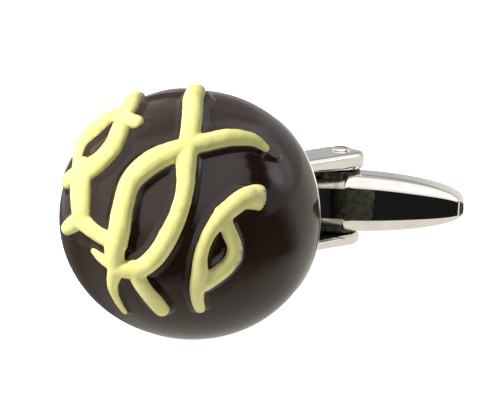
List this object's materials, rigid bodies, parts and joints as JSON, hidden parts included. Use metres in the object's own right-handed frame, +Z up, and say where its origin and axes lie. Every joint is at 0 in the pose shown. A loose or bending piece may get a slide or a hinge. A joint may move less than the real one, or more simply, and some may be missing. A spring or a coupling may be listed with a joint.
{
  "type": "cufflink",
  "caption": "Cufflink with a round chocolate-truffle face under raised pale yellow icing, and a bullet toggle that swings on a riveted pin between the arms of a stirrup",
  "frame": {"origin": "Centre of the part's outline as seen from above, on the surface it rests on", "axes": "+Z is up as the cufflink lies by itself on the side of its face, one arm's end and the toggle's tip. +Y is level and runs from the face towards the toggle. +X is level and to the side that the toggle is swung to"},
  "size_m": [0.018, 0.0306, 0.0185],
  "materials": {
    "brown_enamel": "gloss",
    "yellow_enamel": "satin",
    "polished_metal": "polished"
  },
  "bodies": {
    "face": {"dome": "brown_enamel", "icing_web": "yellow_enamel", "icing_loop": "yellow_enamel", "stirrup": "polished_metal", "pivot_pin": "polished_metal"},
    "swivel": {"toggle": "polished_metal"}
  },
  "joints": [
    {"name": "toggle_swing", "type": "hinge", "parent": "face", "child": "swivel", "pos_m": [-0.0002, 0.00813, 0.00379], "axis": [0.0698, 0.364, 0.9288], "range_deg": [-47, 133]}
  ]
}
